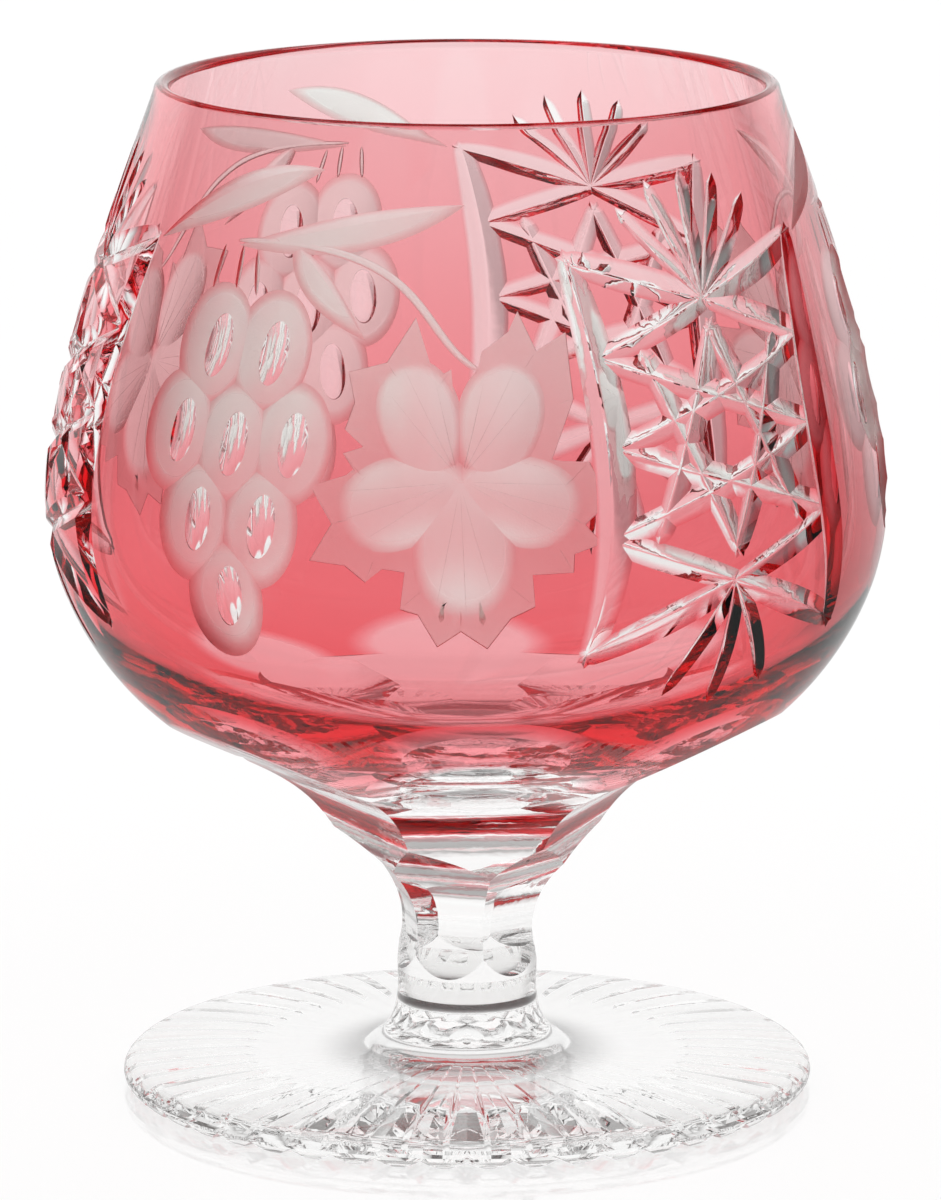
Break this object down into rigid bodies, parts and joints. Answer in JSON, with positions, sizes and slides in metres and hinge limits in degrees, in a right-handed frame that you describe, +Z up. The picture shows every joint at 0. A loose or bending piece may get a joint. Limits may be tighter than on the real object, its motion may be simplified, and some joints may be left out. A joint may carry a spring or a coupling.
{
  "type": "brandy glass",
  "caption": "Brandy balloon in clear cut crystal under a rose casing, with star panels, engraved grapes and vine leaves, a faceted stem and a round foot.",
  "frame": {"origin": "middle of the foot's underside, on the surface that the glass stands on", "axes": "+Z up through the stem and the bowl's mouth; -Y is the side that the picture shows"},
  "size_m": [0.0972, 0.097, 0.118],
  "materials": {
    "clear_crystal": "polished, colourless",
    "rose_casing": "polished, rose, cut and engraved through to the clear glass"
  },
  "bodies": {
    "root": {"bowl": "clear_crystal", "stem": "clear_crystal", "foot": "clear_crystal", "casing": "rose_casing", "panel_1_arch_lower": "rose_casing", "panel_1_arch_upper": "rose_casing", "panel_1_button": "rose_casing", "panel_1_corner_lower_left": "rose_casing", "panel_1_corner_lower_right": "rose_casing", "panel_1_corner_upper_left": "rose_casing", "panel_1_corner_upper_right": "rose_casing", "panel_1_side_lower_left": "rose_casing", "panel_1_side_lower_right": "rose_casing", "panel_1_side_upper_left": "rose_casing", "panel_1_side_upper_right": "rose_casing", "panel_1_tip_bottom": "rose_casing", "panel_1_tip_left": "rose_casing", "panel_1_tip_right": "rose_casing", "panel_1_tip_top": "rose_casing", "panel_2_arch_lower": "rose_casing", "panel_2_arch_upper": "rose_casing", "panel_2_button": "rose_casing", "panel_2_corner_lower_left": "rose_casing", "panel_2_corner_lower_right": "rose_casing", "panel_2_corner_upper_left": "rose_casing", "panel_2_corner_upper_right": "rose_casing", "panel_2_side_lower_left": "rose_casing", "panel_2_side_lower_right": "rose_casing", "panel_2_side_upper_left": "rose_casing", "panel_2_side_upper_right": "rose_casing", "panel_2_tip_bottom": "rose_casing", "panel_2_tip_left": "rose_casing", "panel_2_tip_right": "rose_casing", "panel_2_tip_top": "rose_casing", "panel_3_arch_lower": "rose_casing", "panel_3_arch_upper": "rose_casing", "panel_3_button": "rose_casing", "panel_3_corner_lower_left": "rose_casing", "panel_3_corner_lower_right": "rose_casing", "panel_3_corner_upper_left": "rose_casing", "panel_3_corner_upper_right": "rose_casing", "panel_3_side_lower_left": "rose_casing", "panel_3_side_lower_right": "rose_casing", "panel_3_side_upper_left": "rose_casing", "panel_3_side_upper_right": "rose_casing", "panel_3_tip_bottom": "rose_casing", "panel_3_tip_left": "rose_casing", "panel_3_tip_right": "rose_casing", "panel_3_tip_top": "rose_casing"}
  },
  "joints": []
}
